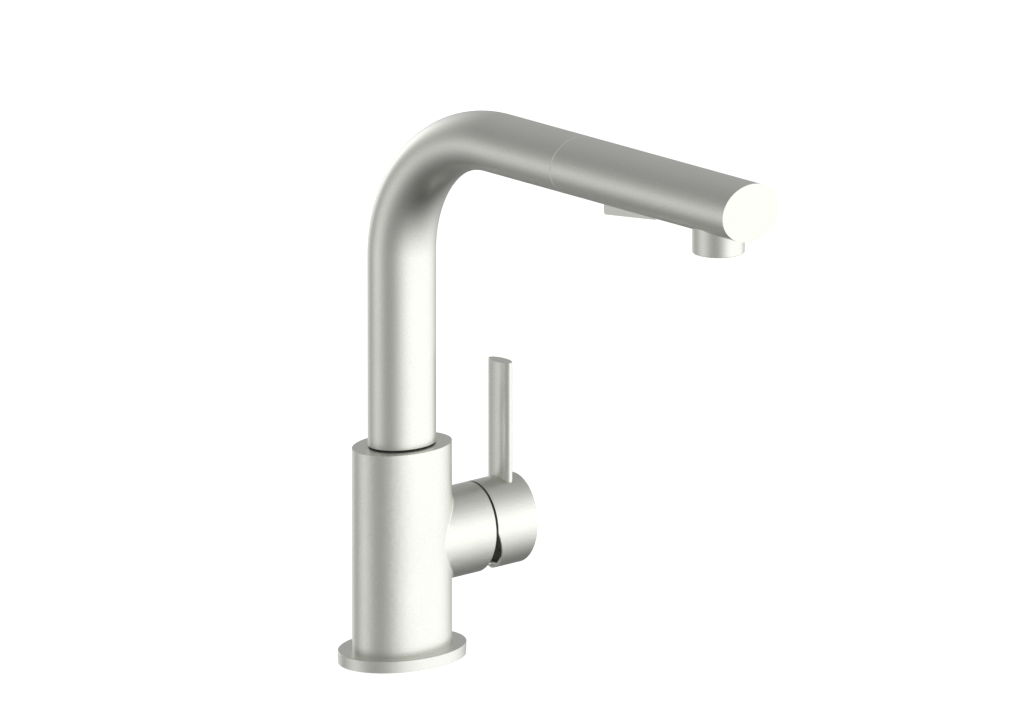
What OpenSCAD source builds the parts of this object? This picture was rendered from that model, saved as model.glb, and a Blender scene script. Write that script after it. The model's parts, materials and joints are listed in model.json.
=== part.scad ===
// Single-lever kitchen faucet with a pull-out spray head.
// Millimetres. The origin is the centre of the base on the sink deck, +Z is up,
// the spout reaches along +X and the handle stands out along +Y.
// Outer sections are ovals, given by their two half axes.

/* [Base and body] */
// Half depth of the body column, along the spout
body_a = 20.3; // [20:0.1:26]
// Half width of the body column, along the handle
body_b = 28.4; // [27:0.1:34]
// Height of the body's flat top above the deck
body_h = 110.7; // [106:0.1:140]
// How far the base flange stands out of the body, along the spout
flange_lip_a = 6.7; // [4:0.1:12]
// How far the base flange stands out of the body, along the handle
flange_lip_b = 7.8; // [4:0.1:12]
// Thickness of the base flange
flange_t = 6.2; // [5:0.1:9]
// Radius of the body's round foot, which fills the deck hole's edge
foot_r = 18.3; // [17.5:0.1:19]

/* [Deck side ports] */
// Radius of the passage that the pull-out hose slides through
passage_r = 7.4; // [6.6:0.1:7.6]
// Radius of each M8 x 1 hose port
port_r = 4; // [3.5:0.1:4.2]
// Depth of each hose port's thread
port_depth = 12; // [8:0.5:16]
// Sideways place of the two inlet ports
inlet_x = 9.8; // [9.4:0.1:10.5]
// Place of the two inlet ports toward the handle
inlet_y = 7.6; // [7:0.1:8]
// Place of the mixed-water port toward the handle
mixed_y = 12.4; // [12:0.1:13]
// Radius of the two fixing stud holes
stud_r = 2.6; // [2:0.1:3]
// Depth of the two fixing stud holes
stud_depth = 14; // [8:0.5:18]
// Distance of each stud hole from the faucet's axis
stud_x = 13.2; // [13:0.1:14]

/* [Spout] */
// Half depth of the spout tube, in the plane of its bend
tube_a = 14.7; // [13:0.1:17]
// Half width of the spout tube
tube_b = 19; // [17:0.1:23]
// Wall of the spout tube
tube_wall = 1.3; // [1:0.1:2]
// Gap between the body's top and the tube, filled by the glide ring
swivel_gap = 0.8; // [0.5:0.1:1.5]
// Overall height of the faucet
total_h = 294.9; // [250:0.1:360]
// Centreline radius of the bend
bend_r = 70.7; // [50:0.1:85]
// Distance from the riser's axis to the seam in front of the spray head
seam_x = 130.2; // [118:0.1:160]
// Swing of the spout to either side, in degrees
swing = 70; // [30:5:80]

/* [Swivel] */
// Radius of the swivel socket in the body
socket_r = 14.2; // [13.8:0.1:14.2]
// Depth of the swivel socket
socket_depth = 22.7; // [18:0.1:26]
// Wall of the plastic swivel bush
bush_t = 1.4; // [1:0.1:1.6]
// Running clearance of the swivel bush on the collar
run_fit = 0.05; // [0.02:0.01:0.1]

/* [Handle and cartridge] */
// Height of the handle's turning axis above the deck
axis_h = 58.9; // [56:0.1:70]
// Half depth of the handle hub
hub_a = 18.2; // [17.8:0.1:20]
// Half height of the handle hub
hub_c = 23.3; // [22:0.1:25]
// Distance from the faucet's axis to the end of the body's side branch
branch_y = 47.5; // [46:0.1:52]
// Gap between the branch and the hub
hub_gap = 1.5; // [1.2:0.1:2.5]
// Length of the hub
hub_len = 26.7; // [24:0.1:32]
// Wall of the hub
hub_wall = 1.6; // [1.2:0.1:2.2]
// Wall of the hub's thin lip around the relief
hub_lip = 0.8; // [0.6:0.1:1.2]
// Slope of the relief under the hub, in degrees
relief = 23; // [20:1:28]
// How far the lever lifts, in degrees
lift = 22; // [15:1:25]
// How far the lever turns to either side, in degrees
turn = 50; // [30:5:60]
// Half depth of the lever bar
lever_a = 8; // [5:0.1:10]
// Half thickness of the lever bar
lever_b = 3.8; // [3.4:0.1:4.2]
// Height of the lever's top above the hub's top
lever_rise = 60; // [40:0.5:90]
// Radius of the cartridge pocket
pocket_r = 14.2; // [13.8:0.1:14.6]
// Depth of the cartridge pocket
pocket_depth = 33.5; // [33:0.1:34]

/* [Spray head] */
// Length of the spray head, from the seam to its end face
head_len = 125.8; // [118:0.1:150]
// Wall of the spray head's shell
shell_wall = 1.6; // [1.2:0.1:1.8]
// Gap at the seam in front of the spray head
seam_gap = 0.2; // [0.2:0.1:0.8]
// Distance from the end face back to the outlet's axis
outlet_back = 23.4; // [20:0.1:30]
// Outer radius of the outlet ring
outlet_r = 13.05; // [12:0.05:14]
// How far the outlet ring hangs below the head
outlet_drop = 9.6; // [5:0.1:14]
// How far the spray head pulls out
pull = 250; // [150:10:400]
// Radius of the head's docking spigot
spigot_r = 11.3; // [10:0.1:11.8]
// Clearance around the docking spigot
spigot_gap = 0.3; // [0.2:0.05:0.5]
// Outer radius of the pull-out hose
hose_r = 5.8; // [5:0.1:6.2]

/* [Diverter] */
// Length of the diverter button
button_len = 37.6; // [30:0.1:44]
// Half width of the diverter button
button_b = 6; // [4:0.1:7]
// Distance from the seam to the button's rear edge
button_x = 25.2; // [22:0.1:30]
// How far the button's rear edge stands out
button_out = 4.5; // [3:0.1:6]
// Press of the diverter button, in degrees
press = 5; // [3:0.5:6]

/* [Hidden] */
$fn = 96;
eps = 0.01;
gap = 0.1;              // assembly clearance between pieces that don't move
fit = 0.05;             // running fit of pins, stems and spools
body_z = flange_t;
flange_a = body_a + flange_lip_a;
flange_b = body_b + flange_lip_b;
gasket_in = foot_r + 2;
gasket_out = gasket_in + 3.6;
gasket_t = 2.4;

socket_z = body_h - socket_depth;
thrust_t = 3;
bush_z = socket_z + thrust_t;
bush_in = socket_r - bush_t;
collar_r = bush_in - run_fit;
collar_bore = passage_r + 2;
thrust_bore = collar_bore + 0.5;
ring_inset = 0.5;        // how far the dark ring stands back from the tube
tube_z = body_h + swivel_gap;
plug_h = 12;
tube_in_a = tube_a - tube_wall;
tube_in_b = tube_b - tube_wall;
arm_z = total_h - tube_a;
bend_z = arm_z - bend_r;
groove_z = socket_z + 9;
groove_h = 4.6;
groove_deep = 2;
stop_r = 2;
stop_sunk = 3;
stop_gap = 0.4;
stop_key = 0.9;
stop_half = asin(stop_r / (collar_r - groove_deep));

// Water ways, and the cartridge's ports that they meet
drill_r = 2.6;
cross_r = 2.4;
mixed_r = 2.3;
hot_cold_x = 7.4;
hot_cold_drop = 3.5;
mixed_rise = 6;

// Cartridge stations along Y, measured from the faucet's axis
pocket_y = branch_y - pocket_depth;
base_y = pocket_y + gap;
base_t = 4.9;
disc_y = base_y + base_t;
disc_t = 3.4;
slide_y = disc_y + disc_t + fit;
slide_t = 3.4;
driver_y = slide_y + slide_t;
driver_t = 7.8;
carrier_y = driver_y + driver_t + 0.5;
carrier_flange_t = 3.6;
carrier_end = branch_y + 2.5;
pivot_y = branch_y - 1.5;
ball_y = pivot_y - 14;
cart_r = pocket_r - 1.2;
cart_in = 11.2;
neck_r = 10.9;
neck_in = 9.1;
neck_end = branch_y + 1.5;
shoulder_y = branch_y - 8.7;
nut_flats = 13;         // half the nut's width across its flats
nut_head = 4;
slide_r = 7.5;
bowl_r = 3.6;            // hollow in the sliding disc's face
bowl_deep = 1.6;
port_seal_r = 2.28;
disc_port_r = 1.7;
slide_travel = (pivot_y - ball_y) * sin(lift);
slide_z = -slide_travel / 2;
stem_a = 3;
stem_c = 2.6;
stem_neck_a = 1.6;
stem_neck_c = 2;
stem_neck_len = 5;
slot_gap = 0.3;
ball_r = 2.8;
pin_r = 1.5;
pin_half = 7.5;

hub_y = branch_y + hub_gap;
hub_end = hub_y + hub_len;
hub_floor = hub_end - 3.7;
boss_y = branch_y + 9.5;
boss_r = 7;
stem_end = boss_y + 8;
lug_y = branch_y + 13;
lever_y = hub_end - 8.9;
lever_z = axis_h + hub_c - 5;
lever_top = axis_h + hub_c + lever_rise;
lever_stud_r = 2.5;
lever_stud_z = lever_z - 12;
lever_stud_len = 27;
grub_r = 2.5;
grub_y = boss_y + 4;
grub_len = 7;
grub_key = 1.4;

head_x = seam_x + seam_gap;
head_end = seam_x + head_len;
front_t = 2.5;
shell_in_a = tube_a - shell_wall;
shell_in_b = tube_b - shell_wall;
spigot_len = 22;
spigot_bore = 8.2;
plate_t = 4;
dock_len = 24;
dock_rim = 0.5;
rim_inset = 0.1;
hose_end_x = head_x - 28;
hose_nut_r = 7.8;
tail_r = 7.9;
tail_x = head_x - 5;
way_r = 7;
way_bore = 4.2;
washer_t = 1.5;
valve_len = 10;
valve_r = 5.5;
outlet_x = head_end - outlet_back;
arm_bottom = arm_z - tube_a;
outlet_z = arm_bottom - outlet_drop;
outlet_in = outlet_r - 1.9;
ring_top = arm_z - 8.4;
chamber_r = outlet_r - 1.1;
aerator_r = outlet_in - 4.65;
jet_ring = outlet_in - 3.25;  // radius of the inner circle of jets
jet_r = 0.75;
jet_bore = 0.35;
seal_t = 1.6;
seal_z = ring_top - 3 - seal_t;

button_rear = seam_x + button_x;
button_front = button_rear + button_len;
button_top = arm_bottom + 3.7;
lip_t = 1;
button_gap = 0.5;
hinge_x = button_front - 3.5;
hinge_z = arm_bottom + 3.1;
hinge_r = 1.1;
hinge_boss = 2.1;
hinge_block = 4.8;
pin_reach = button_b + 2.5;   // half length of the button's pin
spool_x = button_rear + 12;
spool_r = 3.95;
spool_bore = spool_r + fit;
spool_z = arm_bottom + 7.2;
stem_gap = 0.3;
spool_len = 11.8;
land_z = [1.4, spool_len - 2.6];
oring_in = 2.9;
oring_t = 1.1;
diverter_r = 6.2;
spring_z = spool_z + spool_len;
spring_len = 5.5;
bore_top = spring_z + spring_len;
spring_r = 2.9;
spring_wire = 0.35;
spring_turns = 4;

nickel = [0.70, 0.70, 0.66];
brass = [0.78, 0.66, 0.36];
steel = [0.72, 0.73, 0.74];
white_plastic = [0.93, 0.93, 0.91];
grey_plastic = [0.42, 0.43, 0.44];
dark_rubber = [0.10, 0.10, 0.11];
ceramic = [0.95, 0.94, 0.90];
hose_grey = [0.58, 0.59, 0.60];

// An oval of half axes a and b
module oval(a, b) scale([a, b]) circle(r = 1);

// An upright oval plate
module plate(a, b, h) linear_extrude(h) oval(a, b);

// A flat or tubular ring about Z
module ring(r_out, r_in, h) {
    difference() {
        cylinder(r = r_out, h = h);
        translate([0, 0, -1]) cylinder(r = r_in, h = h + 2);
    }
}

// Puts what is drawn up along Z at height z onto the handle's axis, with +Z turned to +Y
module on_handle(y) translate([0, y, axis_h]) rotate([-90, 0, 0]) children();

// Puts what is drawn up along Z onto the arm's axis, with +Z turned to +X and X turned down
module on_arm(x) translate([x, 0, arm_z]) rotate([0, 90, 0]) children();

// A bar along the handle's axis: half sizes a and c, from y0 to y1, around height dz
module handle_bar(a, c, y0, y1, dz = 0) {
    translate([-a, y0, axis_h + dz - c]) cube([2 * a, y1 - y0, 2 * c]);
}

// Base flange: an oval plate with a groove for its gasket
module base_flange() {
    color(nickel) difference() {
        plate(flange_a, flange_b, flange_t);
        translate([0, 0, -1]) cylinder(r = foot_r + gap, h = flange_t + 2);
        translate([0, 0, -1]) ring(gasket_out + gap, gasket_in - gap, gasket_t + 1);
    }
}

module base_gasket() color(dark_rubber) ring(gasket_out, gasket_in, gasket_t);

// Body casting: column, round foot, side branch, water ways and pockets
module body_casting() {
    color(nickel) difference() {
        union() {
            translate([0, 0, body_z]) plate(body_a, body_b, body_h - body_z);
            cylinder(r = foot_r, h = body_z + 1);
            on_handle(0) plate(hub_a, hub_c, branch_y);
        }
        translate([0, 0, -1]) cylinder(r = passage_r, h = body_h);
        translate([0, 0, socket_z]) cylinder(r = socket_r, h = socket_depth + 1);
        on_handle(pocket_y) cylinder(r = pocket_r, h = pocket_depth + 1);
        water_ways();
        stud_holes();
        translate([-body_a - 1, 0, groove_z]) rotate([0, 90, 0]) cylinder(r = stop_r, h = body_a);
    }
}

// The two inlet ways and the mixed-water way, with their ports in the deck face
module water_ways() {
    way_top = axis_h - hot_cold_drop;
    mixed_top = axis_h + mixed_rise;
    for (side = [-1, 1]) {
        translate([side * inlet_x, inlet_y, -1]) cylinder(r = port_r, h = port_depth + 1);
        translate([side * inlet_x, inlet_y, 0]) cylinder(r = drill_r, h = way_top);
        translate([side * hot_cold_x, inlet_y, way_top]) rotate([-90, 0, 0])
            cylinder(r = cross_r, h = pocket_y);
    }
    translate([0, mixed_y, -1]) cylinder(r = port_r, h = port_depth + 1);
    translate([0, mixed_y - 1.1, 0]) cylinder(r = mixed_r, h = mixed_top);
    translate([0, mixed_y - 1, mixed_top]) rotate([-90, 0, 0]) cylinder(r = cross_r, h = 6);
}

module stud_holes() {
    for (side = [-1, 1])
        translate([side * stud_x, 0, -1]) cylinder(r = stud_r, h = stud_depth + 1);
}

module swivel_bush() {
    color(white_plastic) difference() {
        translate([0, 0, bush_z]) ring(socket_r - fit, bush_in, body_h - bush_z);
        translate([-socket_r - 1, 0, groove_z]) rotate([0, 90, 0])
            cylinder(r = stop_r + gap, h = socket_r);
    }
}

module lower_glide_ring() {
    color(white_plastic) translate([0, 0, socket_z])
        ring(socket_r - gap, thrust_bore, thrust_t - fit);
}

// Thin dark ring between the body's top and the tube's foot
module upper_glide_ring() {
    color(dark_rubber) difference() {
        translate([0, 0, body_h]) plate(tube_a - ring_inset, tube_b - ring_inset, swivel_gap - fit);
        translate([0, 0, body_h - 1]) cylinder(r = bush_in + gap, h = 3);
    }
}

module swivel_stop_screw() {
    reach = body_a - stop_sunk - (collar_r - groove_deep) - stop_gap;
    color(steel) translate([-body_a + stop_sunk, 0, groove_z]) rotate([0, 90, 0]) difference() {
        cylinder(r = stop_r - fit, h = reach);
        translate([0, 0, -1]) cylinder(r = stop_key, h = 3, $fn = 6);
    }
}

// Spout tube: riser, bend and arm of one oval section
module spout_tube() {
    color(nickel) difference() {
        tube_run(tube_a, tube_b, 0);
        tube_run(tube_in_a, tube_in_b, 1);
    }
}

// A round run of radius a, widened across the bend's plane to half width b
module tube_run(a, b, over) scale([1, b / a, 1]) {
    translate([0, 0, tube_z - over]) cylinder(r = a, h = bend_z - tube_z + over);
    at_bend() bend(a);
    on_arm(bend_r) cylinder(r = a, h = seam_x - dock_rim - bend_r + over);
}

// Turns a quarter ring about Z into the bend from the riser to the arm
module at_bend() translate([bend_r, 0, bend_z]) rotate([90, 0, 180]) children();

module bend(r) rotate_extrude(angle = 90) translate([bend_r, 0]) circle(r = r);

// Collar brazed in the riser's foot, which turns in the body
module tube_foot_collar() {
    color(brass) difference() {
        union() {
            translate([0, 0, bush_z]) cylinder(r = collar_r, h = tube_z - bush_z);
            translate([0, 0, tube_z]) plate(tube_in_a, tube_in_b, plug_h);
        }
        translate([0, 0, bush_z - 1]) cylinder(r = collar_bore, h = tube_z - bush_z + plug_h + 2);
        translate([0, 0, groove_z - groove_h / 2]) rotate([0, 0, 180 - swing - stop_half - 1])
            rotate_extrude(angle = 2 * (swing + stop_half + 1))
                translate([collar_r - groove_deep, 0]) square([groove_deep + 1, groove_h]);
    }
}

// Plastic sleeve in the arm's end, which the spray head docks in
module dock_sleeve() {
    color(white_plastic) difference() {
        union() {
            on_arm(seam_x - dock_len) plate(tube_in_a, tube_in_b, dock_len - eps);
            on_arm(seam_x - dock_rim) plate(tube_a - rim_inset, tube_b - rim_inset, dock_rim);
        }
        on_arm(seam_x - dock_len - 1) cylinder(r = spigot_r + spigot_gap, h = dock_len + 2);
    }
}

// Pull-out hose: up through the body, round the bend and along the arm
module pull_out_hose() {
    color(hose_grey) {
        cylinder(r = hose_r, h = bend_z, $fn = 48);
        at_bend() bend(hose_r, $fn = 48);
        on_arm(bend_r) cylinder(r = hose_r, h = hose_end_x - bend_r, $fn = 48);
    }
}

// Cartridge, drawn along the handle's axis
module cartridge_base() {
    color(white_plastic) on_handle(base_y) difference() {
        cylinder(r = cart_r, h = base_t);
        cartridge_ports(port_seal_r + 0.02);
    }
}

// The three ports through the cartridge's base, in its own frame, where +Y is down
module cartridge_ports(r) {
    for (side = [-1, 1])
        translate([side * hot_cold_x, hot_cold_drop, -1]) cylinder(r = r, h = 12);
    translate([0, -mixed_rise, -1]) cylinder(r = r, h = 12);
}

module cartridge_seals() {
    color(dark_rubber) on_handle(base_y - 0.2) {
        for (side = [-1, 1]) translate([side * hot_cold_x, hot_cold_drop, 0]) seal();
        translate([0, -mixed_rise, 0]) seal();
    }
}

module seal() ring(port_seal_r, disc_port_r - 0.2, base_t - 0.4);

module fixed_disc() {
    color(ceramic) on_handle(disc_y) difference() {
        cylinder(r = cart_in - gap, h = disc_t);
        cartridge_ports(disc_port_r);
    }
}

module cartridge_housing() {
    color(white_plastic) on_handle(disc_y) difference() {
        union() {
            cylinder(r = cart_r, h = shoulder_y - disc_y);
            cylinder(r = neck_r, h = neck_end - disc_y);
        }
        translate([0, 0, -1]) cylinder(r = cart_in, h = carrier_y + carrier_flange_t + 0.3 - disc_y + 1);
        cylinder(r = neck_in, h = neck_end - disc_y + 1);
    }
}

// Retaining nut with a hexagonal head in front of the branch
module cartridge_nut() {
    color(steel) difference() {
        union() {
            on_handle(shoulder_y + gap) cylinder(r = pocket_r - gap, h = branch_y - shoulder_y + 1);
            on_handle(branch_y + eps) rotate(30) cylinder(r = nut_flats / cos(30), h = nut_head, $fn = 6);
        }
        on_handle(shoulder_y - 1) cylinder(r = neck_r + gap, h = 20);
    }
}

// Plastic carrier that turns in the housing's neck and holds the stem's pin
module stem_carrier() {
    flange_end = carrier_y + carrier_flange_t;
    rise = tan(lift);
    bar_half = stem_c / cos(lift) + slot_gap;
    low = (carrier_end - pivot_y) * rise + bar_half;
    inner = (pivot_y - carrier_y) * rise + bar_half + slot_gap;
    outer = (pivot_y - flange_end) * rise + bar_half;
    color(grey_plastic) difference() {
        union() {
            on_handle(carrier_y) cylinder(r = cart_in - 0.3, h = carrier_flange_t);
            on_handle(carrier_y) cylinder(r = neck_in - fit, h = carrier_end - carrier_y);
        }
        translate([-stem_a - slot_gap, carrier_y - 1, axis_h - low])
            cube([2 * (stem_a + slot_gap), carrier_flange_t + 1.3, low + inner]);
        translate([-stem_a - slot_gap, flange_end, axis_h - low])
            cube([2 * (stem_a + slot_gap), 20, low + outer]);
        stem_hole(pin_r);
    }
}

module stem_hole(r) translate([-12, pivot_y, axis_h]) rotate([0, 90, 0]) cylinder(r = r, h = 24);

module stem_pin() {
    color(steel) translate([-pin_half, pivot_y, axis_h]) rotate([0, 90, 0])
        cylinder(r = pin_r, h = 2 * pin_half);
}

module moving_disc() {
    color(ceramic) translate([0, 0, slide_z]) on_handle(slide_y) difference() {
        cylinder(r = slide_r, h = slide_t);
        translate([0, 0, -1]) cylinder(r = bowl_r, h = 1 + bowl_deep);
    }
}

// Plastic driver behind the moving disc, with a socket for the stem's ball
module disc_carrier() {
    color(grey_plastic) difference() {
        translate([0, 0, slide_z]) on_handle(driver_y) cylinder(r = slide_r, h = driver_t);
        on_handle(ball_y - ball_r - 0.7) cylinder(r = ball_r + slot_gap, h = 12);
    }
}

// Hub: an oval cup with a boss for the stem, a lug for the lever and a relief below
module handle_hub() {
    color(nickel) difference() {
        on_handle(hub_y) plate(hub_a, hub_c, hub_len);
        difference() {
            on_handle(hub_y - 1) plate(hub_a - hub_wall, hub_c - hub_wall, hub_floor - hub_y + 1);
            on_handle(boss_y) cylinder(r = boss_r, h = hub_len);
            translate([-boss_r, lug_y, axis_h]) cube([2 * boss_r, hub_len, hub_c]);
        }
        on_handle(hub_y - 1) plate(hub_a - hub_lip, hub_c - hub_lip, boss_y - hub_y);
        translate([-40, hub_y, axis_h]) rotate([180 + relief, 0, 0]) cube([80, 40, 60]);
        handle_bar(stem_a, stem_c, boss_y - 1, stem_end);
        translate([0, grub_y, 0]) cylinder(r = grub_r, h = axis_h);
        translate([0, lever_y, lever_z]) plate(lever_a + fit, lever_b + fit, 20);
        translate([0, lever_y, lever_stud_z]) cylinder(r = lever_stud_r, h = 20);
    }
}

module lever_bar() {
    color(nickel) difference() {
        translate([0, lever_y, lever_z]) plate(lever_a, lever_b, lever_top - lever_z);
        translate([0, lever_y, lever_z - 1])
            cylinder(r = lever_stud_r, h = lever_stud_z + lever_stud_len + 2 - lever_z);
    }
}

module lever_stud() {
    color(steel) translate([0, lever_y, lever_stud_z]) cylinder(r = lever_stud_r - fit, h = lever_stud_len);
}

// Metal stem: a bar on the pin, with a ball that moves the disc
module cartridge_stem() {
    color(brass) difference() {
        union() {
            handle_bar(stem_a, stem_c, ball_y + stem_neck_len, stem_end);
            handle_bar(stem_neck_a, stem_neck_c, ball_y, ball_y + stem_neck_len + 1);
            translate([0, ball_y, axis_h]) sphere(r = ball_r, $fn = 48);
        }
        stem_hole(pin_r + fit);
    }
}

module hub_set_screw() {
    z = axis_h - stem_c - grub_len;
    color(steel) translate([0, grub_y, z]) difference() {
        cylinder(r = grub_r - fit, h = grub_len);
        translate([0, 0, -1]) cylinder(r = grub_key, h = 4, $fn = 6);
    }
}

// Shell of the spray head, closed in front, with the button's slot and the outlet's hole
module head_shell() {
    color(nickel) difference() {
        union() {
            difference() {
                on_arm(head_x) plate(tube_a, tube_b, head_end - head_x);
                on_arm(head_x - 1) plate(shell_in_a, shell_in_b, head_end - front_t - head_x + 1);
            }
            intersection() {
                on_arm(head_x) plate(tube_a - 0.2, tube_b - 0.2, head_end - head_x);
                translate([hinge_x - hinge_block / 2, -pin_reach - 0.7, arm_bottom])
                    cube([hinge_block, 2 * pin_reach + 1.4, hinge_z + 2.3 - arm_bottom]);
            }
        }
        translate([button_rear - 1, -button_b - button_gap, arm_bottom - 20])
            cube([button_len + 2, 2 * (button_b + button_gap), 26]);
        translate([outlet_x, 0, outlet_z]) cylinder(r = outlet_r + gap, h = arm_z - outlet_z);
        button_hole(hinge_r);
    }
}

module button_hole(r) {
    translate([hinge_x, -pin_reach - gap, hinge_z]) rotate([-90, 0, 0])
        cylinder(r = r, h = 2 * (pin_reach + gap));
}

// Rear plate of the head with its docking spigot
module head_collar() {
    color(grey_plastic) difference() {
        union() {
            on_arm(head_x + eps) plate(shell_in_a - gap, shell_in_b - gap, plate_t);
            on_arm(head_x - spigot_len) cylinder(r = spigot_r, h = spigot_len + 1);
        }
        on_arm(head_x - spigot_len - 1) cylinder(r = spigot_bore, h = spigot_len + plate_t + 2);
    }
}

// Water way of the head: tail, tube, diverter housing and outlet chamber
module head_waterway() {
    color(white_plastic) difference() {
        union() {
            on_arm(tail_x) cylinder(r = tail_r, h = 24);
            on_arm(tail_x) cylinder(r = way_r, h = outlet_x - tail_x);
            translate([spool_x, 0, spool_z - 0.2]) cylinder(r = diverter_r, h = bore_top + 1.5 - spool_z);
            translate([outlet_x, 0, ring_top - 3]) cylinder(r = outlet_in - 0.2, h = 4);
            translate([outlet_x, 0, ring_top]) cylinder(r = chamber_r, h = arm_z + 8.6 - ring_top);
        }
        on_arm(tail_x - 1) cylinder(r = valve_r, h = valve_len + 1);
        on_arm(tail_x) cylinder(r = way_bore, h = outlet_x - tail_x);
        translate([spool_x, 0, spool_z - 1]) cylinder(r = spool_bore, h = bore_top - spool_z + 1);
        translate([outlet_x, 0, ring_top - 4]) cylinder(r = outlet_in - 3, h = 4 + 14);
    }
}

module hose_nut() {
    color(brass) on_arm(hose_end_x - 8) difference() {
        union() {
            cylinder(r = hose_nut_r, h = tail_x - washer_t - hose_end_x + 8);
            rotate(30) cylinder(r = 7, h = 3, $fn = 6);
        }
        translate([0, 0, -1]) cylinder(r = hose_r + slot_gap, h = 60);
    }
}

module hose_washer() {
    color(dark_rubber) on_arm(tail_x - washer_t + eps) ring(7.2, way_bore, washer_t - 2 * eps);
}

module check_valve() {
    color(grey_plastic) on_arm(tail_x) difference() {
        cylinder(r = valve_r - fit, h = valve_len - gap);
        translate([0, 0, -1]) cylinder(r = 3.8, h = 4);
        for (turn_a = [0:60:300]) rotate(turn_a) translate([2.4, 0, -1]) cylinder(r = 0.9, h = 20);
    }
}

// Outlet ring that screws onto the water way and clamps the shell
module nozzle_ring() {
    color(nickel) translate([outlet_x, 0, outlet_z]) difference() {
        cylinder(r = outlet_r, h = ring_top - outlet_z - eps);
        translate([0, 0, -1]) cylinder(r = outlet_in, h = 60);
    }
}

// Rubber spray face around the aerator, with two circles of jets
module spray_face() {
    color(dark_rubber) translate([outlet_x, 0, outlet_z + 1]) difference() {
        union() {
            ring(outlet_in - fit, aerator_r + gap, 3);
            jets(jet_r, 0.7, 0.3);
        }
        jets(jet_bore, 1, 4);
    }
}

// Two circles of upright cylinders around the aerator, from below to above the face
module jets(r, below, above) {
    for (i = [0:23]) rotate(i * 15) translate([jet_ring + 2, 0, -below])
        cylinder(r = r, h = below + above, $fn = 24);
    for (i = [0:17]) rotate(i * 20) translate([jet_ring, 0, -below])
        cylinder(r = r, h = below + above, $fn = 24);
}

module aerator_insert() {
    color(grey_plastic) translate([outlet_x, 0, outlet_z + 1.4]) difference() {
        union() {
            cylinder(r = aerator_r, h = 3);
            translate([0, 0, 3]) cylinder(r = outlet_in - 0.3, h = seal_z - outlet_z - 4.4);
        }
        for (i = [-2:2]) for (j = [-2:2]) if (abs(i) + abs(j) < 4)
            translate([i * 2.1, j * 2.1, -1]) cylinder(r = 0.7, h = 30, $fn = 24);
    }
}

module aerator_seal() {
    color(dark_rubber) translate([outlet_x, 0, seal_z + eps])
        ring(outlet_in - 0.3, outlet_in - 2.6, seal_t - 2 * eps);
}

module button_pin() {
    color(steel) translate([hinge_x, -pin_reach, hinge_z]) rotate([-90, 0, 0])
        cylinder(r = hinge_r - eps, h = 2 * pin_reach);
}

// Rocker button: a wedge that stands out at its rear edge
module diverter_button() {
    rear = button_rear;
    low = arm_bottom - button_out;
    color(nickel) difference() {
        translate([0, button_b, 0]) rotate([90, 0, 0]) linear_extrude(2 * button_b) union() {
            polygon([[rear, low + 1], [rear + 0.8, low], [button_front, arm_bottom - gap],
                     [button_front, button_top], [rear - lip_t, button_top],
                     [rear - lip_t, button_top - lip_t], [rear, button_top - lip_t]]);
            translate([hinge_x, hinge_z]) circle(r = hinge_boss);
        }
        button_hole(hinge_r + fit);
    }
}

// Diverter spool: a stem with two lands that slides in the head
module diverter_spool() {
    color(brass) translate([spool_x, 0, spool_z]) difference() {
        union() {
            cylinder(r = spool_r, h = spool_len);
            translate([0, 0, button_top + stem_gap - spool_z]) cylinder(r = 1.5, h = 5);
        }
        for (z = land_z) translate([0, 0, z]) ring(spool_r + 1, oring_in, oring_t + gap);
        translate([0, 0, 4]) ring(spool_r + 1, 2.2, 4);
    }
}

module diverter_orings() {
    color(dark_rubber) for (z = land_z)
        translate([spool_x, 0, spool_z + z + gap / 2]) ring(spool_r + 0.02, oring_in, oring_t);
}

// Points of a coil's ring number i
function coil_ring(i, per_turn) = [for (k = [0:7])
    let (a = 360 * i / per_turn, c = 360 * k / 8, r = spring_r + spring_wire * cos(c))
    [r * cos(a), r * sin(a), spring_wire * sin(c)
        + spring_wire + gap + (spring_len - 2 * (spring_wire + gap)) * i / (per_turn * spring_turns)]];

module coil() {
    per_turn = 16;
    n = per_turn * spring_turns;
    points = [for (i = [0:n]) each coil_ring(i, per_turn)];
    sides = [for (i = [0:n - 1]) for (k = [0:7])
        [i * 8 + k, (i + 1) * 8 + k, (i + 1) * 8 + (k + 1) % 8, i * 8 + (k + 1) % 8]];
    ends = [[for (k = [0:7]) k], [for (k = [7:-1:0]) n * 8 + k]];
    polyhedron(points, concat(sides, ends), convexity = 10);
}

module diverter_spring() color(steel) translate([spool_x, 0, spring_z]) coil();

base_flange();
base_gasket();
body_casting();
swivel_bush();
lower_glide_ring();
upper_glide_ring();
swivel_stop_screw();
cartridge_base();
cartridge_seals();
fixed_disc();
cartridge_housing();
cartridge_nut();
stem_carrier();
stem_pin();
moving_disc();
disc_carrier();
handle_hub();
lever_bar();
lever_stud();
cartridge_stem();
hub_set_screw();
spout_tube();
tube_foot_collar();
dock_sleeve();
pull_out_hose();
head_shell();
head_collar();
head_waterway();
hose_nut();
hose_washer();
check_valve();
nozzle_ring();
spray_face();
aerator_insert();
aerator_seal();
button_pin();
diverter_button();
diverter_spool();
diverter_orings();
diverter_spring();
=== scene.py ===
"""Looks of the pull-out kitchen faucet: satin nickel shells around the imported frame, in metres."""
import json
import math

import bmesh
import bpy
from mathutils import Matrix, Vector


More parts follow.
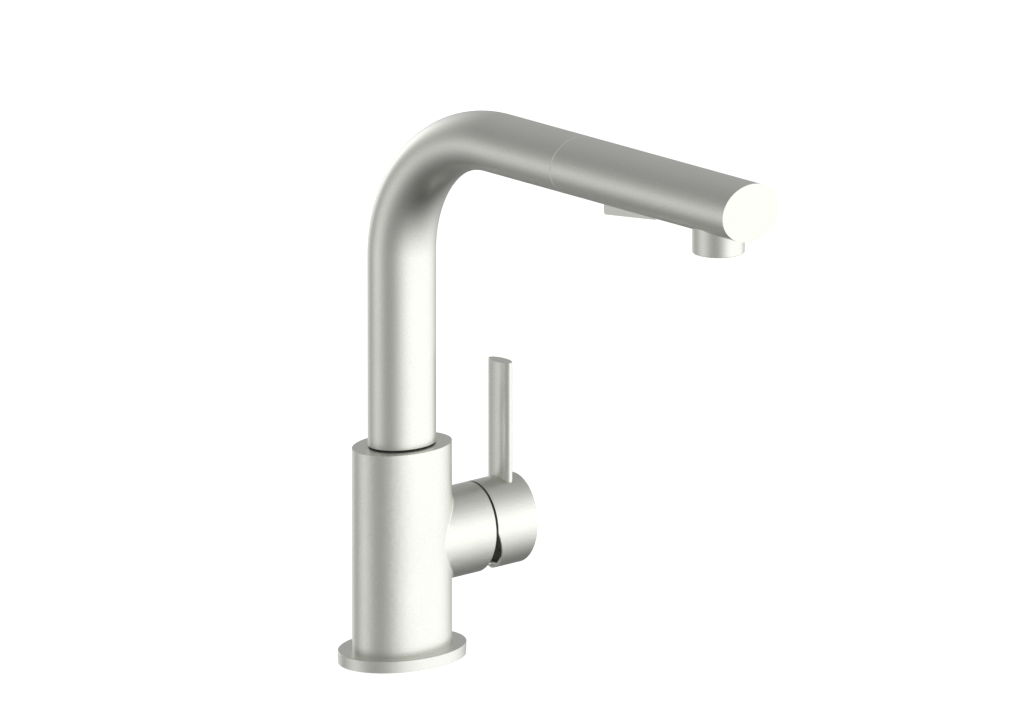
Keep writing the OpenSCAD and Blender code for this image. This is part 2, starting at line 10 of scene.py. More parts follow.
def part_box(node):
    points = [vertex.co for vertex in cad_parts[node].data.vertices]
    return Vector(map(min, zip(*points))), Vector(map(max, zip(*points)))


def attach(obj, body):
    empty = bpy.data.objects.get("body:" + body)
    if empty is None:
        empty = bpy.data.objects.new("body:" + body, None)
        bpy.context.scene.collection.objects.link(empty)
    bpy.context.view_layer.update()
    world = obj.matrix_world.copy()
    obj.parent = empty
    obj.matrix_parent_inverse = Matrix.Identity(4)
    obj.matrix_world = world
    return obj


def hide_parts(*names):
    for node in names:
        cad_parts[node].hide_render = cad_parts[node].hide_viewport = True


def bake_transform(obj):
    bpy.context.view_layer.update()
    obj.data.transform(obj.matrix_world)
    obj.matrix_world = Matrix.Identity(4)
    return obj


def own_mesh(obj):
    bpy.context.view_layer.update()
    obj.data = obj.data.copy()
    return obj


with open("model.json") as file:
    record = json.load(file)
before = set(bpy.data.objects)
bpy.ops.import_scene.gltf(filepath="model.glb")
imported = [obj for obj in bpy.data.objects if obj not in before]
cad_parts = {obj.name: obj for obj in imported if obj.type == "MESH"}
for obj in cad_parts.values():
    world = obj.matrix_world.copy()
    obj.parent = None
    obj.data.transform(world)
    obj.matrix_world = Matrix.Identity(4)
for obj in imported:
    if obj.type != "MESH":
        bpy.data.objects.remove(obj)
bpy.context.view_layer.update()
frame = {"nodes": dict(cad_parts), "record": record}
MM = 0.001
NODES = frame["nodes"]


# ---------------------------------------------------------------- materials

def shader(name, metallic, roughness):
    """A new node material with its Principled shader's plain numbers set."""
    material = bpy.data.materials.new(name)
    material.use_nodes = True
    bsdf = material.node_tree.nodes["Principled BSDF"]
    bsdf.inputs["Metallic"].default_value = metallic
    bsdf.inputs["Roughness"].default_value = roughness
    return material, material.node_tree, bsdf


def node(tree, kind, **settings):
    """A node of a shader or geometry tree, with its settings and its named inputs."""
    made = tree.nodes.new(kind)
    for key, value in settings.items():
        if hasattr(made, key):
            setattr(made, key, value)
        else:
            made.inputs[key.replace("_", " ")].default_value = value
    return made


def noise(tree, scale, detail=2.0):
    """Noise on Object coordinates, in cells per metre."""
    place = node(tree, "ShaderNodeTexCoord")
    cells = node(tree, "ShaderNodeTexNoise", Scale=scale, Detail=detail)
    tree.links.new(place.outputs["Object"], cells.inputs["Vector"])
    return cells.outputs["Fac"]


def ramp(tree, source, low, high, start=0.3, end=0.7):
    """Turns a 0 to 1 value into a blend of two colours."""
    blend = node(tree, "ShaderNodeValToRGB")
    stops = blend.color_ramp.elements
    stops[0].position, stops[1].position = start, end
    stops[0].color = (*low, 1)
    stops[1].color = (*high, 1)
    tree.links.new(source, blend.inputs["Fac"])
    return blend.outputs["Color"]


def spread(tree, source, low, high):
    """Maps the middle of a 0 to 1 value to a range."""
    band = node(tree, "ShaderNodeMapRange")
    band.inputs["From Min"].default_value = 0.3
    band.inputs["From Max"].default_value = 0.7
    band.inputs["To Min"].default_value = low
    band.inputs["To Max"].default_value = high
    tree.links.new(source, band.inputs["Value"])
    return band.outputs["Result"]


def grain(tree, bsdf, source, depth, strength):
    """Raises a surface by a 0 to 1 value, to a depth in metres."""
    bump = node(tree, "ShaderNodeBump", Strength=strength, Distance=depth)
    tree.links.new(source, bump.inputs["Height"])
    tree.links.new(bump.outputs["Normal"], bsdf.inputs["Normal"])


def satin_nickel():
    """Blasted and plated metal: a warm grey with a speckled grain of about half a millimetre."""
    material, tree, bsdf = shader("satin_nickel", 1.0, 0.4)
    speckle = noise(tree, 1500, 3)
    cloud = noise(tree, 40, 2)
    tint = ramp(tree, speckle, (0.68, 0.685, 0.64), (0.76, 0.765, 0.715))
    tree.links.new(tint, bsdf.inputs["Base Color"])
    tree.links.new(spread(tree, cloud, 0.33, 0.38), bsdf.inputs["Roughness"])
    grain(tree, bsdf, noise(tree, 2600, 2), 0.00003, 0.35)
    return material


def plain_finish(name, low, high, metallic, roughness, cells, depth):
    """A finish with two close tints, a slight change of gloss and a fine grain."""
    wear, relief = 0.15, 0.6
    material, tree, bsdf = shader(name, metallic, roughness)
    tree.links.new(ramp(tree, noise(tree, cells), low, high), bsdf.inputs["Base Color"])
    coarse, fine = noise(tree, cells / 6), noise(tree, cells * 1.5)
    gloss = spread(tree, coarse, roughness * (1 - wear), roughness * (1 + wear))
    tree.links.new(gloss, bsdf.inputs["Roughness"])
    grain(tree, bsdf, fine, depth, relief)
    return material


# Each plain finish: name, two tints, metallic, roughness, cells of grain per metre, depth of grain
PLAIN_FINISHES = [
    ("brass", (0.70, 0.52, 0.24), (0.80, 0.62, 0.32), 1, 0.28, 900, 2e-5),
    ("steel", (0.58, 0.59, 0.60), (0.70, 0.71, 0.72), 1, 0.25, 900, 1e-5),
    ("white_plastic", (0.86, 0.86, 0.83), (0.90, 0.90, 0.87), 0, 0.45, 1200, 2e-5),
    ("grey_plastic", (0.12, 0.12, 0.125), (0.16, 0.16, 0.165), 0, 0.5, 1200, 3e-5),
    ("dark_rubber", (0.010, 0.010, 0.011), (0.022, 0.022, 0.023), 0, 0.7, 1500, 4e-5),
    ("ceramic", (0.80, 0.79, 0.74), (0.86, 0.85, 0.81), 0, 0.15, 700, 5e-6),
]
FINISHES = {"satin_nickel": satin_nickel()}
FINISHES.update({row[0]: plain_finish(*row) for row in PLAIN_FINISHES})


def dress_cad_nodes():
    """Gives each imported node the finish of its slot."""
    for part in frame["record"]["subparts"]:
        mesh = NODES[part["node"]].data
        mesh.materials.clear()
        mesh.materials.append(FINISHES[part["material_slot"]])


# ---------------------------------------------------------------- sizes

X, Y, Z = Vector((1, 0, 0)), Vector((0, 1, 0)), Vector((0, 0, 1))
AROUND = 160                   # points around an oval
EDGE = 0.35 * MM               # rounding of a machined edge
FINE_EDGE = 0.2 * MM           # rounding of a fitted edge
JOINED = 0.001 * MM            # points nearer than this are one
FLAT = math.radians(0.3)       # faces that turn less than this lie in one plane
CORNER = math.radians(35)      # edges that turn more than this are rounded
SHARP = math.radians(50)       # edges that turn more than this are shaded sharp

flange_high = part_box("base_flange")[1]
gasket_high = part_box("base_gasket")[1]
body_low, body_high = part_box("body_casting")
tube_low, tube_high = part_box("spout_tube")
hub_low, hub_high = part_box("handle_hub")
lever_low, lever_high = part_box("lever_bar")
shell_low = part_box("head_shell")[0]
outlet_low, outlet_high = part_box("nozzle_ring")
face_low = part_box("spray_face")[0]
hose_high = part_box("pull_out_hose")[1]

TUBE_A = -tube_low[0]                  # half depth of the spout tube
TUBE_B = tube_high[1]                  # half width
TUBE_WALL = 1.3 * MM
BEND_STEPS = 48                        # rings of points in the bend
ARM_Z = tube_high[2] - TUBE_A          # height of the arm's axis
BEND_R = 70.7 * MM
OUTLET_X = (outlet_low[0] + outlet_high[0]) / 2
OUTLET_R = (outlet_high[0] - outlet_low[0]) / 2
HUB_Z = (hub_low[2] + hub_high[2]) / 2


# ---------------------------------------------------------------- forms

def oval(centre, across, up, half_across, half_up, count=AROUND):
    """Points of an oval in the plane of two unit directions."""
    turns = [2 * math.pi * k / count for k in range(count)]
    return [centre + across * (half_across * math.cos(t)) + up * (half_up * math.sin(t)) for t in turns]


def skin(name, rings, slot, body, loop=False):
    """A closed form through rings of points, capped at its ends unless the rings make a loop."""
    form = bmesh.new()
    rows = [[form.verts.new(point) for point in points] for points in rings]
    pairs = list(zip(rows, rows[1:]))
    if loop:
        pairs.append((rows[-1], rows[0]))
    else:
        form.faces.new(rows[0])
        form.faces.new(rows[-1])
    for near, far in pairs:
        for k in range(len(near)):
            after = (k + 1) % len(near)
            form.faces.new((near[k], near[after], far[after], far[k]))
    bmesh.ops.recalc_face_normals(form, faces=form.faces)
    return finished(name, form, slot, body)


def finished(name, form, slot, body):
    """Makes a piece of a form, in a slot's finish, riding on a body if one is given."""
    mesh = bpy.data.meshes.new(name)
    form.to_mesh(mesh)
    form.free()
    return piece_of(name, mesh, slot, body)


def piece_of(name, mesh, slot, body):
    """Makes a smooth-shaded piece of a mesh, sharp only at its real edges."""
    mesh.materials.clear()
    mesh.materials.append(FINISHES[slot])
    for face in mesh.polygons:
        face.use_smooth = True
    mesh.set_sharp_from_angle(angle=SHARP)
    piece = bpy.data.objects.new(name, mesh)
    bpy.context.scene.collection.objects.link(piece)
    even_shading(piece)
    if body:
        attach(piece, body)
    return piece


def even_shading(piece):
    """Keeps flat faces flat beside their rounded edges."""
    weights = piece.modifiers.new("even_shading", "WEIGHTED_NORMAL")
    weights.keep_sharp = True
    weights.weight = 100


def rounded(inset, height, radius):
    """Inset and height of points around an outer edge, from its side to its flat."""
    steps = 3
    turns = [math.pi / 2 * k / steps for k in range(steps + 1)]
    return [(inset + radius * (1 - math.cos(t)), height - radius * (1 - math.sin(t))) for t in turns]


def softened(name, node_name, slot, body):
    """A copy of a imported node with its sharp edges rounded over."""
    form = bmesh.new()
    form.from_mesh(NODES[node_name].data)
    bmesh.ops.remove_doubles(form, verts=form.verts, dist=JOINED)
    bmesh.ops.dissolve_limit(form, angle_limit=FLAT, verts=form.verts, edges=form.edges)
    sharp = [edge for edge in form.edges
             if len(edge.link_faces) == 2 and edge.calc_face_angle(0) > CORNER]
    bmesh.ops.bevel(form, geom=sharp, offset=FINE_EDGE, segments=2, profile=0.5,
                    affect="EDGES", clamp_overlap=True)
    piece = finished(name, form, slot, body)
    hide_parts(node_name)


# ---------------------------------------------------------------- base and body

def base_flange():
    """The oval plate on the deck, with rounded edges and a groove for its gasket below."""
    a, b, top = flange_high[0], flange_high[1], flange_high[2]
    groove_gap, groove_wide, hole = 0.1 * MM, 3.8 * MM, 18.4 * MM
    groove_out, groove_top = gasket_high[0] + groove_gap, gasket_high[2]
    groove_in = groove_out - groove_wide
    outline = [(FINE_EDGE, 0)] + rounded(0, top, EDGE)
    rings = [oval(Z * high, X, Y, a - inset, b - inset) for inset, high in outline]
    for r, high in ((hole, top), (hole, 0), (groove_in, 0), (groove_in, groove_top),
                    (groove_out, groove_top), (groove_out, 0)):
        rings.append(oval(Z * high, X, Y, r, r))
    piece = skin("base_flange_plate", rings, "satin_nickel", "body", loop=True)
    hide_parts("base_flange")


def branch_fillet():
    """The soft inner corner where the handle's branch leaves the column."""
    a, b = body_high[0], -body_low[1]
    radius, sunk, root, steps = 2.2 * MM, 0.03 * MM, 1.5 * MM, 8
    half_a, half_c = hub_high[0], (hub_high[2] - hub_low[2]) / 2
    rings = [[] for _ in range(steps + 2)]
    for k in range(AROUND):
        turn = 2 * math.pi * k / AROUND
        x, z = half_a * math.cos(turn), half_c * math.sin(turn)
        y = b * math.sqrt(1 - (x / a) ** 2)
        corner = Vector((x, y, HUB_Z + z))
        column = Vector((x / a ** 2, y / b ** 2, 0)).normalized()
        branch = Vector((x / half_a ** 2, 0, z / half_c ** 2)).normalized()
        along = column.cross(branch).normalized()
        down_column = column.cross(along) * -1
        down_branch = branch.cross(along)
        if down_column.dot(branch) < 0:
            down_column.negate()
        if down_branch.dot(column) < 0:
            down_branch.negate()
        open_angle = down_column.angle(down_branch)
        reach = radius / math.tan(open_angle / 2)
        start = corner + down_column * reach - column * sunk
        end = corner + down_branch * reach - branch * sunk
        for step in range(steps + 1):
            t = step / steps
            rings[step].append(start * (1 - t) ** 2 + corner * (2 * t * (1 - t)) + end * t ** 2)
        rings[-1].append(corner - (column + branch).normalized() * root)
    skin("branch_fillet", rings, "satin_nickel", "body", loop=True)


# ---------------------------------------------------------------- spout

def geometry_tree(name, inputs):
    """An empty geometry tree with named inputs, given as name, kind and first value."""
    tree = bpy.data.node_groups.new(name, "GeometryNodeTree")
    tree.interface.new_socket("Geometry", in_out="INPUT", socket_type="NodeSocketGeometry")
    tree.interface.new_socket("Geometry", in_out="OUTPUT", socket_type="NodeSocketGeometry")
    for label, kind, value in inputs:
        socket = tree.interface.new_socket(label, in_out="INPUT", socket_type="NodeSocket" + kind)
        if value is not None:
            socket.default_value = value
    return tree, node(tree, "NodeGroupInput"), node(tree, "NodeGroupOutput")


def grown(name, mesh, tree, values):
    """The plain mesh that a geometry tree makes, with its inputs set by name."""
    holder = bpy.data.objects.new(name, mesh)
    bpy.context.scene.collection.objects.link(holder)
    modifier = holder.modifiers.new("grow", "NODES")
    modifier.node_group = tree
    for socket in tree.interface.items_tree:
        if socket.in_out == "INPUT" and socket.name in values:
            modifier[socket.identifier] = values[socket.name]
    bpy.context.view_layer.update()
    seen = holder.evaluated_get(bpy.context.evaluated_depsgraph_get())
    made = bpy.data.meshes.new_from_object(seen)
    bpy.data.objects.remove(holder)
    return made


def bent_tube_tree():
    """A tube of oval section along a line with rounded corners."""
    tree, given, out = geometry_tree("bent_tube", [
        ("Bend Radius", "Float", BEND_R), ("Bend Steps", "Int", BEND_STEPS),
        ("Half Depth", "Float", TUBE_A), ("Half Width", "Float", TUBE_B),
        ("Around", "Int", AROUND), ("Finish", "Material", None)])
    link = tree.links.new
    line = node(tree, "GeometryNodeMeshToCurve")
    corner = node(tree, "GeometryNodeFilletCurve", mode="POLY", Limit_Radius=False)
    section = node(tree, "GeometryNodeCurvePrimitiveCircle", mode="RADIUS", Radius=1.0)
    scale = node(tree, "GeometryNodeTransform")
    size = node(tree, "ShaderNodeCombineXYZ", Z=1.0)
    sweep = node(tree, "GeometryNodeCurveToMesh", Fill_Caps=False)
    real = node(tree, "GeometryNodeRealizeInstances")
    coat = node(tree, "GeometryNodeSetMaterial")
    link(given.outputs["Geometry"], line.inputs["Mesh"])
    link(line.outputs["Curve"], corner.inputs["Curve"])
    link(given.outputs["Bend Radius"], corner.inputs["Radius"])
    link(given.outputs["Bend Steps"], corner.inputs["Count"])
    link(given.outputs["Around"], section.inputs["Resolution"])
    link(given.outputs["Half Depth"], size.inputs["X"])
    link(given.outputs["Half Width"], size.inputs["Y"])
    link(size.outputs["Vector"], scale.inputs["Scale"])
    link(section.outputs["Curve"], scale.inputs["Geometry"])
    link(corner.outputs["Curve"], sweep.inputs["Curve"])
    link(scale.outputs["Geometry"], sweep.inputs["Profile Curve"])
    link(sweep.outputs["Mesh"], real.inputs["Geometry"])
    link(real.outputs["Geometry"], coat.inputs["Geometry"])
    link(given.outputs["Finish"], coat.inputs["Material"])
    link(coat.outputs["Geometry"], out.inputs["Geometry"])
    return tree


def spout_tube():
    """Riser, bend and arm in one run, open at both ends, with rounded rims."""
    line = bpy.data.meshes.new("spout_line")
    corners = [(0, 0, tube_low[2]), (0, 0, ARM_Z), (tube_high[0], 0, ARM_Z)]
    line.from_pydata(corners, [(0, 1), (1, 2)], [])
    mesh = grown("spout_line", line, bent_tube_tree(), {
        "Bend Radius": BEND_R, "Bend Steps": BEND_STEPS, "Half Depth": TUBE_A, "Half Width": TUBE_B,
        "Around": AROUND, "Finish": FINISHES["satin_nickel"]})
    form = bmesh.new()
    form.from_mesh(mesh)
    bmesh.ops.recalc_face_normals(form, faces=form.faces)
    if max(form.faces, key=lambda face: face.calc_center_median().z).normal.z < 0:
        bmesh.ops.reverse_faces(form, faces=form.faces)
    piece = finished("spout_run", form, "satin_nickel", None)
    piece.modifiers.clear()
    wall = piece.modifiers.new("wall", "SOLIDIFY")
    wall.thickness, wall.offset = TUBE_WALL, -1
    rim = piece.modifiers.new("rim", "BEVEL")
    rim.width, rim.segments = FINE_EDGE, 2
    rim.limit_method, rim.angle_limit = "ANGLE", SHARP
    even_shading(piece)
    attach(piece, "spout")
    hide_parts("spout_tube")


BRAID_UNITS = 12                  # width of the hose's UV map, once around
BRAID_STRANDS = 24                # strands of each family around the hose
BRAID_LEAN = math.radians(52)     # slope of the strands
WAVE_RATE = 20                    # radians that a wave texture turns in one unit


def hose_braid():
    """Two crossing families of dark strands that wind around the hose."""
    material, tree, bsdf = shader("braided_hose", 0.0, 0.45)
    place = node(tree, "ShaderNodeUVMap", uv_map="hose")
    weave = None
    pitch = BRAID_UNITS * math.cos(BRAID_LEAN) / BRAID_STRANDS
    for lean in (BRAID_LEAN, -BRAID_LEAN):
        turned = node(tree, "ShaderNodeMapping")
        turned.inputs["Rotation"].default_value = (0, 0, lean)
        strand = node(tree, "ShaderNodeTexWave", wave_type="BANDS", bands_direction="X",
                      wave_profile="SIN", Scale=2 * math.pi / WAVE_RATE / pitch)
        tree.links.new(place.outputs["UV"], turned.inputs["Vector"])
        tree.links.new(turned.outputs["Vector"], strand.inputs["Vector"])
        if weave is None:
            weave = strand.outputs["Fac"]
        else:
            mixed = node(tree, "ShaderNodeMath", operation="MULTIPLY")
            tree.links.new(weave, mixed.inputs[0])
            tree.links.new(strand.outputs["Fac"], mixed.inputs[1])
            weave = mixed.outputs[0]
    tint = ramp(tree, weave, (0.12, 0.12, 0.125), (0.42, 0.42, 0.43), 0.05, 0.6)
    tree.links.new(tint, bsdf.inputs["Base Color"])
    tree.links.new(spread(tree, noise(tree, 300), 0.38, 0.52), bsdf.inputs["Roughness"])
    grain(tree, bsdf, weave, 0.0003, 0.8)
    return material


HOSE_PULL = 0.25                       # how far the head comes out
HOSE_STRETCH = 0.078, 0.099            # where the hose lengthens in the arm, from and to


def hose_route():
    """Centres of the hose's rings, each with the direction away from the bend's centre."""
    riser_steps, arm_steps = 30, 160
    bend_z = ARM_Z - BEND_R
    stations = [(Vector((0, 0, bend_z * k / riser_steps)), X * -1) for k in range(riser_steps)]
    for k in range(BEND_STEPS + 1):
        turn = math.pi / 2 * k / BEND_STEPS
        across = Vector((-math.cos(turn), 0, math.sin(turn)))
        stations.append((Vector((BEND_R, 0, bend_z)) + across * BEND_R, across))
    for k in range(1, arm_steps + 1):
        along = BEND_R + (hose_high[0] - BEND_R) * k / arm_steps
        stations.append((Vector((along, 0, ARM_Z)), Z))
    return stations


def pull_out_hose():
    """The braided hose, its braid packed closer along the stretch in the arm by as much as the head comes
    out.
    """
    around, radius = 40, hose_high[1]
    stretch_from, stretch_to = HOSE_STRETCH
    braid_scale = BRAID_UNITS / (2 * math.pi * radius)
    form = bmesh.new()
    rows, marks, run, last = [], [], 0.0, None
    for centre, outward in hose_route():
        run += (centre - last).length if last is not None else 0
        last = centre
        mark = run
        if centre.x > stretch_from:
            t = min(1.0, (centre.x - stretch_from) / (stretch_to - stretch_from))
            mark += HOSE_PULL * t * t * (3 - 2 * t)
        rows.append([form.verts.new(point) for point in oval(centre, Y, outward, radius, radius, around)])
        marks.append(mark)
    uv = form.loops.layers.uv.new("hose")
    for low, high, near, far in zip(rows, rows[1:], marks, marks[1:]):
        for k in range(around):
            after = (k + 1) % around
            face = form.faces.new((low[k], low[after], high[after], high[k]))
            places = ((k, near), (k + 1, near), (k + 1, far), (k, far))
            for loop, (step, mark) in zip(face.loops, places):
                loop[uv].uv = (step / around * BRAID_UNITS, mark * braid_scale)
    form.faces.new(rows[0])
    form.faces.new(rows[-1])
    bmesh.ops.recalc_face_normals(form, faces=form.faces)
    piece = finished("hose_run", form, "braided_hose", None)
    piece.modifiers.clear()
    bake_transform(piece)
    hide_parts("pull_out_hose")


def docking_ring():
    """The pale ring at the seam: a crowned band, flush with the tube's skin at its middle."""
    near, wide = tube_high[0], shell_low[0] - tube_high[0]
    low, crown, clear = 0.5 * MM, 0.04 * MM, 0.02 * MM
    outline = [(clear, low), (clear, crown), (wide / 2, 0), (wide - clear, crown), (wide - clear, low)]
    rings = [oval(Vector((near + along, 0, ARM_Z)), Y, Z, TUBE_B - inset, TUBE_A - inset)
             for along, inset in outline]
    skin("docking_ring", rings, "white_plastic", "spout", loop=True)


# ---------------------------------------------------------------- spray head

def outlet_ring():
    """The ring around the spray face, with a rounded lip."""
    low, top = outlet_low[2], outlet_high[2]
    wall, inner_edge = 1.9 * MM, 0.3 * MM
    inner = OUTLET_R - wall
    outline = [(OUTLET_R, top)]
    outline += [(OUTLET_R - inset, 2 * low - high) for inset, high in rounded(0, low, EDGE)]
    outline += [(inner + inner_edge, low), (inner, low + inner_edge), (inner, top)]
    rings = [oval(Vector((OUTLET_X, 0, high)), X, Y, r, r) for r, high in outline]
    piece = skin("outlet_ring", rings, "satin_nickel", "spray_head", loop=True)
    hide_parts("nozzle_ring")


def lathed(outline, around):
    """A form turned around Z from a closed outline of radius and height."""
    form = bmesh.new()
    rows = [[form.verts.new(point) for point in oval(Z * high, X, Y, r, r, around)]
            for r, high in outline]
    for near, far in zip(rows, rows[1:] + rows[:1]):
        for k in range(around):
            after = (k + 1) % around
            form.faces.new((near[k], near[after], far[after], far[k]))
    bmesh.ops.recalc_face_normals(form, faces=form.faces)
    return form


def plain_mesh(name, form):
    """A mesh of a form, for a geometry tree to start from."""
    mesh = bpy.data.meshes.new(name)
    form.to_mesh(mesh)
    form.free()
    return mesh


def jet_nub():
    """One rubber jet: a small rounded cone with a hole, pointing down from its foot."""
    outline = [(0.95, 0.2), (0.72, -0.35), (0.66, -0.62), (0.5, -0.7), (0.36, -0.62), (0.34, 0.2)]
    around = 14
    form = lathed([(r * MM, high * MM) for r, high in outline], around)
    return bpy.data.objects.new("jet_nub", plain_mesh("jet_nub", form))


def jet_rows_tree():
    """Jets on two circles, joined to the face they stand on."""
    tree, given, out = geometry_tree("jet_rows", [
        ("Jet", "Object", None), ("Outer Count", "Int", 24), ("Outer Radius", "Float", 10 * MM),
        ("Inner Count", "Int", 18), ("Inner Radius", "Float", 8 * MM), ("Finish", "Material", None)])
    link = tree.links.new
    nub = node(tree, "GeometryNodeObjectInfo")
    join = node(tree, "GeometryNodeJoinGeometry")
    real = node(tree, "GeometryNodeRealizeInstances")
    shade = node(tree, "GeometryNodeSetShadeSmooth")
    coat = node(tree, "GeometryNodeSetMaterial")
    link(given.outputs["Jet"], nub.inputs["Object"])
    for label in ("Outer", "Inner"):
        circle = node(tree, "GeometryNodeMeshCircle", fill_type="NONE")
        place = node(tree, "GeometryNodeInstanceOnPoints")
        link(given.outputs[label + " Count"], circle.inputs["Vertices"])
        link(given.outputs[label + " Radius"], circle.inputs["Radius"])
        link(circle.outputs["Mesh"], place.inputs["Points"])
        link(nub.outputs["Geometry"], place.inputs["Instance"])
        link(place.outputs["Instances"], join.inputs["Geometry"])
    link(given.outputs["Geometry"], join.inputs["Geometry"])
    link(join.outputs["Geometry"], real.inputs["Geometry"])
    link(real.outputs["Geometry"], shade.inputs["Geometry"])
    link(shade.outputs["Geometry"], coat.inputs["Geometry"])
    link(given.outputs["Finish"], coat.inputs["Material"])
    link(coat.outputs["Geometry"], out.inputs["Geometry"])
    return tree


def spray_face():
    """The rubber ring of jets around the aerator."""
    outer, inner, thick, edge = OUTLET_R - 1.95 * MM, 6.6 * MM, 3 * MM, 0.3 * MM
    around, foot = 96, face_low[2] + 0.7 * MM
    nub = jet_nub()
    bpy.context.scene.collection.objects.link(nub)
    outline = [(outer, thick), (outer, edge), (outer - edge, 0), (inner + edge, 0),
               (inner, edge), (inner, thick)]
    plate = plain_mesh("spray_plate", lathed(outline, around))
    mesh = grown("spray_plate", plate, jet_rows_tree(), {
        "Jet": nub, "Outer Count": 24, "Outer Radius": 9.9 * MM, "Inner Count": 18,
        "Inner Radius": 7.9 * MM, "Finish": FINISHES["dark_rubber"]})
    bpy.data.objects.remove(nub)
    mesh.transform(Matrix.Translation((OUTLET_X, 0, foot)))
    piece = piece_of("spray_jets", mesh, "dark_rubber", "spray_head")
    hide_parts("spray_face")


def coil_tree():
    """A round wire wound into an open coil."""
    tree, given, out = geometry_tree("coil", [
        ("Turns", "Float", 4.0), ("Coil Radius", "Float", 3 * MM), ("Wire Radius", "Float", 0.4 * MM),
        ("Rise", "Float", 5 * MM), ("Points Per Turn", "Int", 32), ("Finish", "Material", None)])
    link = tree.links.new
    path = node(tree, "GeometryNodeCurveSpiral")
    wire = node(tree, "GeometryNodeCurvePrimitiveCircle", mode="RADIUS", Resolution=12)
    sweep = node(tree, "GeometryNodeCurveToMesh", Fill_Caps=True)
    real = node(tree, "GeometryNodeRealizeInstances")
    coat = node(tree, "GeometryNodeSetMaterial")
    link(given.outputs["Points Per Turn"], path.inputs["Resolution"])
    link(given.outputs["Turns"], path.inputs["Rotations"])
    link(given.outputs["Coil Radius"], path.inputs["Start Radius"])
    link(given.outputs["Coil Radius"], path.inputs["End Radius"])
    link(given.outputs["Rise"], path.inputs["Height"])
    link(given.outputs["Wire Radius"], wire.inputs["Radius"])
    link(path.outputs["Curve"], sweep.inputs["Curve"])
    link(wire.outputs["Curve"], sweep.inputs["Profile Curve"])
    link(sweep.outputs["Mesh"], real.inputs["Geometry"])
    link(real.outputs["Geometry"], coat.inputs["Geometry"])
    link(given.outputs["Finish"], coat.inputs["Material"])
    link(coat.outputs["Geometry"], out.inputs["Geometry"])
    return tree


def diverter_spring():
    """The spring over the diverter spool, built at its full length."""
    low, high = (Vector(corner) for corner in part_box("diverter_spring"))
    wire, turns, travel = 0.35 * MM, 4.0, 1.95 * MM
    tall = high.z - low.z
    blank = bpy.data.meshes.new("coil_start")
    mesh = grown("coil_start", blank, coil_tree(), {
        "Turns": turns, "Coil Radius": (high.x - low.x) / 2 - wire, "Wire Radius": wire,
        "Rise": tall - 2 * wire, "Points Per Turn": 32, "Finish": FINISHES["steel"]})
    middle = (low + high) / 2
    mesh.transform(Matrix.Translation((middle.x, middle.y, low.z + wire)))
    form = bmesh.new()
    form.from_mesh(mesh)
    bmesh.ops.remove_doubles(form, verts=form.verts, dist=JOINED)
    bmesh.ops.recalc_face_normals(form, faces=form.faces)
    piece = finished("spool_spring", form, "steel", "spray_head")
    piece.modifiers.clear()      # the piece is its plain mesh, without modifiers
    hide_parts("diverter_spring")
    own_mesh(piece)


# ---------------------------------------------------------------- handle

def lever_bar():
    """The oval lever, with a rounded edge around its flat top."""
    centre = Vector((0, (lever_low[1] + lever_high[1]) / 2, 0))
    a, b, top = lever_high[0], (lever_high[1] - lever_low[1]) / 2, lever_high[2]
    around = 96
    outline = [(0, lever_low[2])] + rounded(0, top, EDGE)
    rings = [oval(centre + Z * high, X, Y, a - inset, b - inset, around) for inset, high in outline]
    piece = skin("lever_blade", rings, "satin_nickel", "handle")
    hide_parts("lever_bar")


# ---------------------------------------------------------------- studio

VIEW_AZIMUTH = math.radians(47.5)
VIEW_ELEVATION = math.radians(15.1)
FRAME_WIDTH = 0.5135      # width of what the camera sees at the faucet
LENS = 1150.0             # a very long lens, so edges stay almost parallel
SENSOR = 36.0
AIM_RIGHT = 0.0551        # what the camera aims at, right of the base's centre
AIM_UP = 0.1503           # and above it, square to its line of sight


def camera_axes():
    """Right, up and back of the camera."""
    right = Vector((math.cos(VIEW_AZIMUTH), math.sin(VIEW_AZIMUTH), 0))
    back = Vector((math.sin(VIEW_AZIMUTH) * math.cos(VIEW_ELEVATION),
                   -math.cos(VIEW_AZIMUTH) * math.cos(VIEW_ELEVATION),
                   math.sin(VIEW_ELEVATION)))
    return right, back.cross(right), back


def add_camera():
    """The camera, far away with a long lens."""
    right, up, back = camera_axes()
    data = bpy.data.cameras.new("camera")
    data.lens = LENS
    data.sensor_width = SENSOR
    distance = FRAME_WIDTH * LENS / SENSOR
    data.clip_start, data.clip_end = distance * 0.5, distance * 2
    camera = bpy.data.objects.new("camera", data)
    camera.location = right * AIM_RIGHT + up * AIM_UP + back * distance
    camera.rotation_mode = "QUATERNION"
    camera.rotation_quaternion = (-back).to_track_quat("-Z", "Y")
    bpy.context.scene.collection.objects.link(camera)
    bpy.context.scene.camera = camera


def add_floor():
    """A pale floor that shines evenly, so that the ground stays white."""
    bpy.ops.mesh.primitive_plane_add(size=30)
    floor = bpy.context.object
    floor.name = "floor"
    floor.location.z = -0.2 * MM
    material = bpy.data.materials.new("floor")
    material.use_nodes = True
    tree = material.node_tree
    bsdf = tree.nodes["Principled BSDF"]
    bsdf.inputs["Base Color"].default_value = (0.9, 0.9, 0.9, 1)
    bsdf.inputs["Roughness"].default_value = 1
    bsdf.inputs["Specular IOR Level"].default_value = 0
    bsdf.inputs["Emission Color"].default_value = (1, 1, 1, 1)
    bsdf.inputs["Emission Strength"].default_value = 0.75
    floor.data.materials.append(material)
    floor.visible_glossy = False
    floor.visible_diffuse = False
    floor.visible_shadow = False


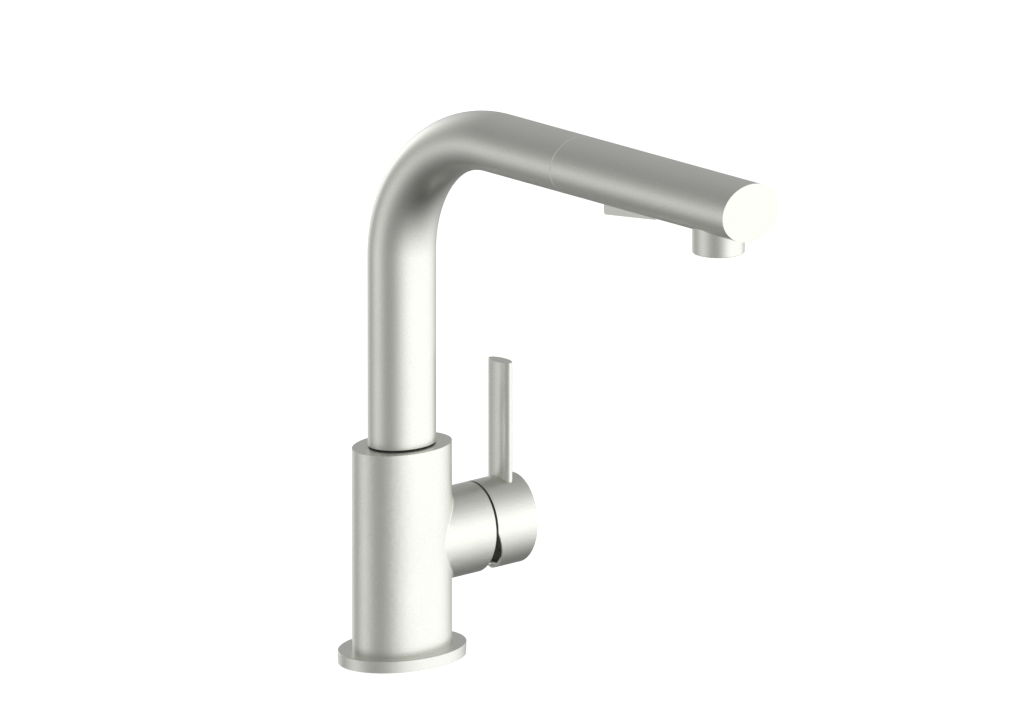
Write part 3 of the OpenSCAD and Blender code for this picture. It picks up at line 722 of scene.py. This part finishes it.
# Each glow of the studio's walls: direction, narrowness, strength
GLOWS = [
    ((0.98, 0.18, -0.12), 5.0, 1.22),     # big soft wall on the right, its near end
    ((0.38, 0.92, -0.12), 5.0, 1.18),     # and its far end
    ((-0.40, -0.90, -0.12), 7.0, 0.62),   # soft wall on the left
    ((-0.97, 0.22, 0.06), 18.0, 1.48),    # pale wall behind, on the left
    ((0.15, 0.35, -1.00), 2.0, -0.38),    # darker ground
    ((-0.50, -0.30, 0.80), 10.0, -0.08),  # darker patch of ceiling
]
DIM = 0.40                # light from everywhere else


def add_world():
    """Soft walls of light around the faucet, and white behind it."""
    world = bpy.data.worlds.new("studio")
    bpy.context.scene.world = world
    world.use_nodes = True
    tree = world.node_tree
    back = tree.nodes["Background"]
    back.inputs["Color"].default_value = (1, 1, 1, 1)
    place = node(tree, "ShaderNodeTexCoord")
    total = None
    for direction, narrow, strength in GLOWS:
        aim = node(tree, "ShaderNodeVectorMath", operation="DOT_PRODUCT")
        aim.inputs[1].default_value = Vector(direction).normalized()
        tree.links.new(place.outputs["Generated"], aim.inputs[0])
        front = node(tree, "ShaderNodeMath", operation="MAXIMUM")
        tree.links.new(aim.outputs["Value"], front.inputs[0])
        front.inputs[1].default_value = 0.0
        curve = node(tree, "ShaderNodeMath", operation="POWER")
        tree.links.new(front.outputs[0], curve.inputs[0])
        curve.inputs[1].default_value = narrow
        add = node(tree, "ShaderNodeMath", operation="MULTIPLY_ADD")
        tree.links.new(curve.outputs[0], add.inputs[0])
        add.inputs[1].default_value = strength
        if total is None:
            add.inputs[2].default_value = DIM
        else:
            tree.links.new(total, add.inputs[2])
        total = add.outputs[0]
    path = node(tree, "ShaderNodeLightPath")
    pick = node(tree, "ShaderNodeMix", data_type="FLOAT")
    tree.links.new(path.outputs["Is Camera Ray"], pick.inputs[0])
    tree.links.new(total, pick.inputs[2])
    pick.inputs[3].default_value = 1.0
    tree.links.new(pick.outputs[0], back.inputs["Strength"])
    bpy.context.scene.view_settings.view_transform = "Standard"


add_camera()
add_floor()
add_world()
FINISHES["braided_hose"] = hose_braid()
dress_cad_nodes()
base_flange()
softened("body_column", "body_casting", "satin_nickel", "body")
branch_fillet()
spout_tube()
docking_ring()
pull_out_hose()
softened("head_sleeve", "head_shell", "satin_nickel", "spray_head")
outlet_ring()
spray_face()
diverter_spring()
softened("rocker_button", "diverter_button", "satin_nickel", "button")
softened("hub_cup", "handle_hub", "satin_nickel", "handle")
lever_bar()
